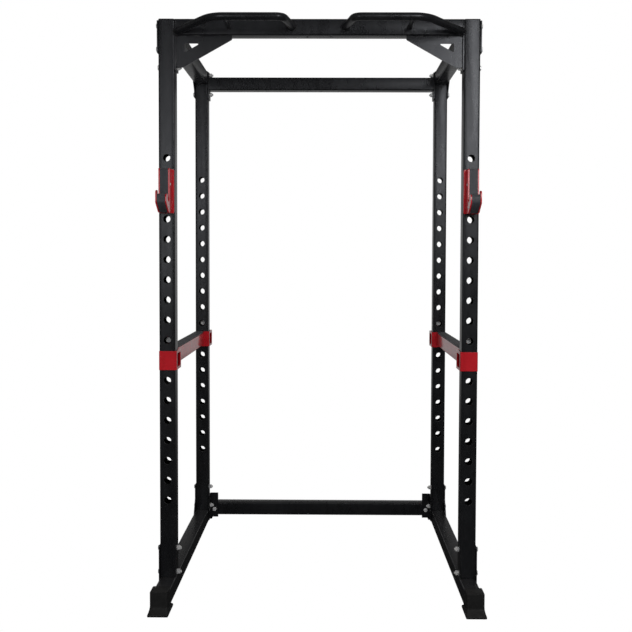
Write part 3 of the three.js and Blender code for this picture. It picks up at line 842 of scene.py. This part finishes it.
def bent_path(corners, bends, steps=10):
    """Straight runs with a smooth bend of the given length at each corner."""
    points = [corners[0]]
    for i, bend in enumerate(bends, 1):
        start = corners[i] + (corners[i - 1] - corners[i]).normalized() * bend
        end = corners[i] + (corners[i + 1] - corners[i]).normalized() * bend
        points += [start, *curve_through(start, corners[i], end, steps)]
    return points + [corners[-1]]


def make_grip():
    front = post_face - GRIP_REACH
    top = cad_high[2]
    corners = [Vector((OUTER_END, post_face, top - OUTER_DROP)), Vector((OUTER_BEND, front, top - GRIP_DROP)),
               Vector((INNER_BEND, front, top - GRIP_DROP)), Vector((INNER_END, post_face, top - INNER_DROP))]
    shape = bmesh.new()
    add_swept(shape, bent_path(corners, BENDS), GRIP_RADIUS, sides=28)
    post = [(POST_X, front + GRIP_RADIUS / 2, top - GRIP_DROP), (POST_X, post_face, top - GRIP_DROP)]
    add_swept(shape, post, POST_RADIUS)
    beyond = bmesh.new()
    add_prism(beyond, [(0, post_face), (0.6, post_face), (0.6, post_face + 0.1), (0, post_face + 0.1)],
              (top - 0.2, top + 0.1), "z")
    shape = cut_away(shape, beyond)
    seam = post_face - 0.8 * MM
    for x, drop, radius in ((OUTER_END, OUTER_DROP, GRIP_RADIUS), (INNER_END, INNER_DROP, GRIP_RADIUS),
                            (POST_X, GRIP_DROP, POST_RADIUS)):
        add_ring_bead(shape, (x, seam, top - drop), "y", radius + 0.6 * MM)
    return shape


on_both_sides("pull_up_grip", make_grip, black_coat, rounding=0)

# %% [markdown]
# ## The feet
# Rubber sleeves close the rails' ends and spread into a skirt on the floor. Rounded squares
# at several heights are lofted into the flare, and the rail's socket is cut out behind.

# %% feet
FOOT_TOE, SLEEVE_END, SKIRT_END, FOOT_FRONT = 24, 84, 112, 4.2  # mm behind the foot's tip


def make_foot(node):
    low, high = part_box(node)
    tip_y, inward = (low[1], 1) if low[1] < 0 else (high[1], -1)
    top = (high[2] - low[2]) / MM
    # Each row is half the width, where it starts and stops behind the tip, and its height.
    rows = [(37.0, 0.4, SKIRT_END - 0.4, 0), (37.5, 0, SKIRT_END, 1.2), (37.5, 0, SKIRT_END, 5),
            (36.8, 1.5, SKIRT_END - 2, 7.5), (35.4, 9, 103, 11), (33.8, 16, 93, 17), (32.7, 22, 87, 24),
            (32.4, FOOT_TOE, SLEEVE_END, 31), (32.4, FOOT_TOE, SLEEVE_END, top - 3),
            (31.8, FOOT_TOE + 0.8, SLEEVE_END - 0.8, top - 0.8),
            (30.2, FOOT_TOE + 2.4, SLEEVE_END - 2.4, top)]
    rings = []
    for half, start, stop, z in rows:
        ys = sorted((tip_y + inward * start * MM, tip_y + inward * stop * MM))
        outline = rounded_box_outline((post_x - half * MM, post_x + half * MM), ys, 4.5 * MM)
        rings.append([(u, v, low[2] + z * MM) for u, v in outline])
    shape = bmesh.new()
    add_loft(shape, rings)
    # The rail's own section, a little larger, cuts the sleeve's hollow.
    half, bottom = TUBE / 2 + GAP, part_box("right_base_rail")[0][2] - GAP
    outline = rounded_box_outline((bottom, bottom + 2 * half), (post_x - half, post_x + half), CORNER)
    hollow = sorted((tip_y + inward * (FOOT_TOE + FOOT_FRONT) * MM, tip_y + inward * 0.2))
    return cut_away(shape, add_prism(bmesh.new(), outline, hollow, "y"))


for end in ("front", "rear"):
    node = f"right_{end}_foot"
    on_both_sides(f"{end}_foot", lambda: make_foot(node), foot_rubber, rounding=0.5 * MM)

# %% [markdown]
# ## The rear corner brackets
# A steel angle joins the rear bottom beam to each upright. It is bent, not welded, so its
# outer corner is round: the outline is an L with a large and a small radius.

# %% corner brackets
def make_corner_bracket():
    low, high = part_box("right_rear_corner_bracket")
    x0, x1, y0, y1 = low[0], high[0], low[1], high[1]
    corners = [(x1, y0), (x1, y1), (x0, y1), (x0, y1 - PLATE), (x1 - PLATE, y1 - PLATE), (x1 - PLATE, y0)]
    outline = rounded_outline(corners, [0, 7 * MM, 0, 0, 2 * MM, 0])
    return add_prism(bmesh.new(), outline, (low[2], high[2]), "z")


on_both_sides("rear_corner_bracket", make_corner_bracket, black_coat, rounding=0.8 * MM)

# %% [markdown]
# ## The bolts
# A hexagon's corners are cut back by a cone at the top, which leaves the arcs that every nut
# shows. Head, washers, nut and the thread's end are each closed shapes in one piece.

# %% hexagons with a chamfered top
WASHER, HEAD, NUT, TAIL, SHANK, NUT_FLAT = 2 * MM, 5 * MM, 10 * MM, 5 * MM, 5 * MM, 8.2 * MM


def add_hexagon(shape, place, bottom, top, flat, cone_below=False, sides=48):
    """A hexagon prism about z, its top, and its bottom too for a nut, cut back by a cone."""
    inner = flat * 0.95
    rows = [[], [], [], []]
    for i in range(sides):
        angle = 2 * math.pi * i / sides
        reach = flat / math.cos((angle % (math.pi / 3)) - math.pi / 6)
        drop = (reach - inner) * math.tan(math.radians(28))
        low_drop = drop if cone_below else 0
        low_reach = inner if cone_below else reach * 0.995
        for row, radius, z in zip(rows, (low_reach, reach, reach, inner),
                                  (bottom, bottom + low_drop, top - drop, top)):
            row.append(place @ Vector((radius * math.cos(angle), radius * math.sin(angle), z)))
    if not cone_below:
        rows = rows[1:]
    return add_loft(shape, rows)


def add_thread(shape, place, start, end, radius, pitch=1.5 * MM):
    profile, z = [(radius * 0.4, start)], start
    while z < end - pitch:
        profile += [(radius, z + 0.1 * MM), (radius, z + pitch * 0.4), (radius * 0.86, z + pitch * 0.7)]
        z += pitch
    profile += [(radius * 0.8, end - 0.4 * MM), (radius * 0.55, end)]
    return add_turned(shape, profile, place, sides=24)


print("nut", NUT / MM, "mm high, washer", WASHER / MM, "mm")

# %% bolts
def make_bolt(node, axis, head_at_high):
    """A bolt, two washers and a nut, fitted to its CAD node's box."""
    low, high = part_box(node)
    along = "xyz".index(axis)
    length = high[along] - low[along]
    tail_end = (low + high) / 2
    tail_end[along] = (low if head_at_high else high)[along]
    place = facing(axis, tail_end, flip=not head_at_high)
    shape = bmesh.new()
    add_thread(shape, place, 0, TAIL + 1 * MM, SHANK)
    add_hexagon(shape, place, TAIL, TAIL + NUT, NUT_FLAT, cone_below=True)
    washer = [(SHANK, 0), (9.5 * MM, 0), (9.9 * MM, 0.3 * MM), (9.9 * MM, WASHER - 0.3 * MM),
              (9.5 * MM, WASHER), (SHANK, WASHER)]
    for seat in (TAIL + NUT, length - HEAD - WASHER):
        add_turned(shape, [(r, z + seat) for r, z in washer], place)
    add_turned(shape, [(SHANK, TAIL + NUT - 1 * MM), (SHANK, length - HEAD + 1 * MM)], place)
    add_hexagon(shape, place, length - HEAD, length, NUT_FLAT)
    return shape


bolt_axes = {f"{place}_bolt_{i}": "x" for place in ("front_top", "rear_top", "front_base", "rear_base")
             for i in (1, 2)}
bolt_axes |= {"beam_end_bolt": "x", "bracket_beam_bolt": "y"}
for name, axis in bolt_axes.items():
    on_both_sides(name, lambda: make_bolt(f"right_{name}", axis, axis == "x"), zinc, rounding=0.25 * MM)

# %% [markdown]
# ## The barbell hooks
# A hook is a sandwich: a grey plastic core that the bar lies on, between two steel cheeks
# welded to a back plate, whose pins enter the upright's holes. One outline gives the cheeks
# and, a little smaller, the core.

# %% hook outline
HOOK_BACK, CORE_WIDTH, CHEEK, OUTER_LIFT = 5 * MM, 31 * MM, 5 * MM, 13  # the lift is in mm


def hook_outline(inset, lift=0):
    """The hook from the side, as (up, along y): back, crown, cradle, lip, heel."""
    depth, tall, cradle, inset = 54, (hook_high[2] - hook_low[2]) / MM, 56, inset / MM
    top, tip = tall - inset, depth + 60 - inset
    points = [(5.3, inset), (5.3, top), (depth - 8, top)]
    points += curve_through((depth - 8, top), (depth, top), (depth, top - 8))
    points += [(depth, cradle)]
    turns = [math.pi * k / 14 for k in range(1, 15)]
    points += [(depth + 17 - 17 * math.cos(turn), cradle - 17 * math.sin(turn)) for turn in turns]
    points += [(depth + 34, 60 + lift)]
    points += curve_through((depth + 34, 60 + lift), (depth + 36, 67 + lift), (depth + 46, 66 + lift))
    points += curve_through((depth + 46, 66 + lift), (tip, 64 + lift), (tip, 52 + lift))
    points += [(tip, 39)]
    points += curve_through((tip, 39), (tip, 33), (depth + 54, 29.5))
    points += [(depth + 8, inset)]
    return [(post_face - forward * MM, hook_low[2] + up * MM) for forward, up in points]


print("hook outline of", len(hook_outline(0)), "points")

# %% hook bracket and core
def add_screw(shape, place, radius=4.6 * MM, tall=1.9 * MM):
    """A low button head with a socket."""
    socket = radius * 0.42
    profile = [(radius, 0), (radius, 0.5 * MM), (radius * 0.93, tall * 0.62), (radius * 0.72, tall),
               (socket, tall), (socket * 0.92, tall * 0.3)]
    add_turned(shape, profile, place, sides=24)


def make_hook_screws():
    """Two screws in each cheek hold the core."""
    shape = bmesh.new()
    for forward, up in ((36, 106), (64, 22)):
        for sign in (-1, 1):
            x = post_x + sign * (CORE_WIDTH / 2 + CHEEK)
            place = facing("x", (x, post_face - forward * MM, hook_low[2] + up * MM), flip=sign < 0)
            add_screw(shape, place)
    return shape


def make_hook_bracket():
    half = (hook_high[0] - hook_low[0]) / 2
    back = rounded_box_outline((hook_low[2], hook_high[2]), (post_x - half, post_x + half), 5 * MM)
    shape = bmesh.new()
    add_prism(shape, back, (post_face - GAP - HOOK_BACK, post_face - GAP), "y")
    for offset, lift in ((CORE_WIDTH / 2, OUTER_LIFT), (-CORE_WIDTH / 2 - CHEEK, 0)):
        add_prism(shape, hook_outline(0, lift), (post_x + offset, post_x + offset + CHEEK), "x")
        seam_x = post_x + offset + (CHEEK if offset > 0 else 0)
        seam_y = post_face - GAP - HOOK_BACK
        low_z, high_z = hook_low[2], hook_high[2]
        for z0, z1 in ((low_z + 12 * MM, low_z + 52 * MM), (high_z - 50 * MM, high_z - 10 * MM)):
            add_bead(shape, (seam_x, seam_y, z0), (seam_x, seam_y, z1), 1.8 * MM)
    for z in (hook_low[2] + HOOK_BELOW_PIN, hook_low[2] + HOOK_BELOW_PIN - PITCH):
        pin = [(PIN_RADIUS, 0), (PIN_RADIUS, 39 * MM), (PIN_RADIUS - 2.5 * MM, 42 * MM)]
        add_turned(shape, pin, facing("y", (post_x, post_face - HOOK_BACK, z)), sides=32)
    return shape


def make_hook_core():
    core_x = (post_x - CORE_WIDTH / 2 + GAP, post_x + CORE_WIDTH / 2 - GAP)
    return add_prism(bmesh.new(), hook_outline(1 * MM), core_x, "x")


on_both_sides("hook_bracket", make_hook_bracket, red_coat, "hook", rounding=0.5 * MM)
on_both_sides("hook_screws", make_hook_screws, zinc, "hook", rounding=0.2 * MM)

on_both_sides("hook_core", make_hook_core, liner_plastic, "hook", rounding=1 * MM)

# %% [markdown]
# ## The safety bars
# Each safety bar is a red tube with a plastic liner on top, between two brackets bent round
# the uprights like a U. The bracket's back leg stands clear of the upright, so the bar can be
# pushed forwards until its pins leave the holes.

# %% safety brackets
BEND_RADIUS, BRACKET_HALF, TAB_REACH = 6 * MM, 36 * MM, 22 * MM
FRAME_WIDTH, FRAME_HEIGHT = 15 * MM, 10 * MM  # steel left round the window in the inner side


def make_safety_bracket(node):
    low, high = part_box(node)
    x0, x1 = low[0], high[0]
    upright_front = post_low[1] if low[1] < 0 else rear_low[1]
    front, back, middle = upright_front - GAP - PLATE, high[1], hole_heights[SAFETY_HOLE]
    corners = [(x1, front), (x1, front + PLATE), (x0 + PLATE, front + PLATE), (x0 + PLATE, back - PLATE),
               (x1, back - PLATE), (x1, back), (x0, back), (x0, front)]
    outline = rounded_outline(corners, [0, 0, 1.5 * MM, 1.5 * MM, 0, 0, BEND_RADIUS, BEND_RADIUS])
    shape = bmesh.new()
    add_prism(shape, outline, (middle - BRACKET_HALF, middle + BRACKET_HALF), "z")
    window = bmesh.new()
    window_z = (middle - BRACKET_HALF + FRAME_HEIGHT, middle + BRACKET_HALF - FRAME_HEIGHT)
    hollow = rounded_box_outline((front + FRAME_WIDTH, back - FRAME_WIDTH), window_z, 8 * MM)
    add_prism(window, hollow, (x0 - 0.02, x0 + 0.02), "x")
    shape = cut_away(shape, window)
    tab = rounded_box_outline((middle, high[2]), (post_x - TAB_REACH, x1), 6 * MM)
    add_prism(shape, tab, (back - PLATE + 0.1 * MM, back - 0.1 * MM), "y")
    pin = [(PIN_RADIUS, 0), (PIN_RADIUS, 31 * MM), (PIN_RADIUS - 2.5 * MM, 34 * MM)]
    add_turned(shape, pin, facing("y", (post_x, front + 1 * MM, middle)), sides=32)
    return shape


def make_lock_pin(node):
    """A plated pin from the tab at the back into the next hole up."""
    low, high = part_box(node)
    upright = (post_low, post_high) if low[1] < 0 else (rear_low, rear_high)
    tip_y = (upright[0][1] + upright[1][1]) / 2
    length = high[1] - PLATE / 2 - tip_y
    profile = [(PIN_RADIUS, 0), (PIN_RADIUS, length - 1 * MM), (PIN_RADIUS - 1 * MM, length)]
    place = facing("y", (post_x, high[1] - PLATE / 2, hole_heights[SAFETY_HOLE - 1]), flip=True)
    shape = bmesh.new()
    add_turned(shape, profile, place)
    return shape


for end in ("front", "rear"):
    node = f"right_safety_{end}_bracket"
    on_both_sides(f"safety_{end}_bracket", lambda: make_safety_bracket(node), red_coat, "safety")
    on_both_sides(f"safety_{end}_lock_pin", lambda: make_lock_pin(node), zinc, "safety", rounding=0)

# %% safety bar and liner
def make_safety_bar():
    low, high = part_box("right_safety_bar")
    shape = tube_in_box(low, high, "y")
    for y in (low[1], high[1]):
        for z in (low[2] + 0.5 * MM, high[2] - 0.5 * MM):
            add_bead(shape, (low[0] + 4 * MM, y, z), (high[0] - 4 * MM, y, z))
        for x in (low[0] + 0.5 * MM, high[0] - 0.5 * MM):
            add_bead(shape, (x, y, low[2] + 4 * MM), (x, y, high[2] - 4 * MM))
    return shape


def make_liner():
    low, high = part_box("right_safety_liner")
    corners = [(low[2], low[0]), (low[2], high[0]), (high[2], high[0]), (high[2], low[0])]
    outline = rounded_outline(corners[::-1], [3.5 * MM, 3.5 * MM, 0.5 * MM, 0.5 * MM])
    return add_prism(bmesh.new(), outline, (low[1], high[1]), "y")


on_both_sides("safety_bar", make_safety_bar, red_coat, "safety")
on_both_sides("safety_liner", make_liner, liner_plastic, "safety")

# %% [markdown]
# ## Floor, world and lights
# The cage stands on a plain white floor before a white wall. The camera sees a pure white
# backdrop, while reflections see a dim room with a lit band of wall behind, so that black
# steel stays black and shows the softboxes as broad pale streaks.

# %% floor
FLOOR_GLOW, NEAR_GLOW, FAR_GLOW, WHITE = 0.30, 0.015, 0.36, (1, 1, 1, 1)
floor_shape = bmesh.new()
bmesh.ops.create_grid(floor_shape, x_segments=1, y_segments=1, size=30)
floor_mesh = bpy.data.meshes.new("floor")
floor_shape.to_mesh(floor_mesh)
floor_shape.free()
floor = bpy.data.objects.new("floor", floor_mesh)
floor.location.z = cad_low[2] - 0.2 * MM
scene.collection.objects.link(floor)
floor_white, tree, shader = new_finish("floor_white")
shader["Base Color"].default_value = (0.85, 0.85, 0.85, 1)
shader["Roughness"].default_value = 0.9
shader["Emission Color"].default_value = WHITE
shader["Emission Strength"].default_value = FLOOR_GLOW
# The camera sees plain white. A glossy ray sees a dim studio's floor: dark near the cage and
# light far behind.
place = add_node(tree, "SeparateXYZ", {0: add_node(tree, "NewGeometry").outputs["Position"]}).outputs["Y"]
fade = maths(tree, "POWER", remap(tree, place, 0.4, 7.5), 1.6)
glow = maths(tree, "ADD", maths(tree, "MULTIPLY", fade, FAR_GLOW), NEAR_GLOW)
dim = add_node(tree, "Emission", {"Color": WHITE, "Strength": glow})
white = add_node(tree, "Emission", {"Color": WHITE, "Strength": 1.0})
ray = add_node(tree, "LightPath").outputs
either = add_node(tree, "MixShader", {0: ray["Is Glossy Ray"], 1: tree.nodes["Principled BSDF"].outputs[0],
                                      2: dim.outputs[0]})
seen = add_node(tree, "MixShader", {0: ray["Is Camera Ray"], 1: either.outputs[0], 2: white.outputs[0]})
tree.links.new(seen.outputs[0], tree.nodes["Material Output"].inputs["Surface"])
floor_mesh.materials.append(floor_white)
floor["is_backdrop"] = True
print("floor at z", round(floor.location.z, 4))

# %% world
ROOM_DIM, WALL_BAND = 0.075, 0.40
world = bpy.data.worlds.new("white room")
scene.world = world
world.use_nodes = True
tree = world.node_tree
tree.nodes.clear()
direction = add_node(tree, "SeparateXYZ", {0: add_node(tree, "TexCoord").outputs["Generated"]}).outputs
behind = remap(tree, direction["Y"], 0.0, 0.5)
band = remap(tree, direction["Z"], 0.12, 0.22, WALL_BAND, 0.0)
strength = maths(tree, "ADD", maths(tree, "MULTIPLY", behind, band), ROOM_DIM)
room = add_node(tree, "Background", {"Color": WHITE, "Strength": strength})
backdrop = add_node(tree, "Background", {"Color": WHITE, "Strength": 1.0})
seen = add_node(tree, "LightPath").outputs["Is Camera Ray"]
mixed = add_node(tree, "MixShader", {0: seen, 1: room.outputs[0], 2: backdrop.outputs[0]})
tree.links.new(mixed.outputs[0], add_node(tree, "OutputWorld").inputs["Surface"])
scene.view_settings.view_transform = "Standard"
print("white room ready")

# %% lights
def softbox(name, place, aim, width, height, watts, reflected=True):
    light = bpy.data.lights.new(name, "AREA")
    light.shape, light.size, light.size_y, light.energy = "RECTANGLE", width, height, watts
    box = bpy.data.objects.new(name, light)
    box.location = place
    box.rotation_euler = (Vector(aim) - Vector(place)).to_track_quat("-Z", "Y").to_euler()
    box.visible_glossy = reflected
    scene.collection.objects.link(box)


softbox("left softbox", (-1.25, -3.73, 1.88), (-0.55, post_face, 1.6), 0.8, 1.6, 9)
softbox("right softbox", (1.3, -3.73, 2.5), (0.55, post_face, 1.7), 0.9, 1.4, 24)
softbox("fill softbox", (0.6, -3.5, 2.6), (0, 0, 1.3), 2.5, 2.0, 70, reflected=False)
softbox("overhead softbox", (0.3, 0.2, 4.6), (0, 0, 0), 3.0, 3.0, 60, reflected=False)
print("four softboxes placed")

# %% sizes
low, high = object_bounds()
grown = [round((a - b) / MM, 2) for a, b in zip(high - low, cad_high - cad_low)]
print(len(made_pieces), "pieces; grown by", grown, "mm")
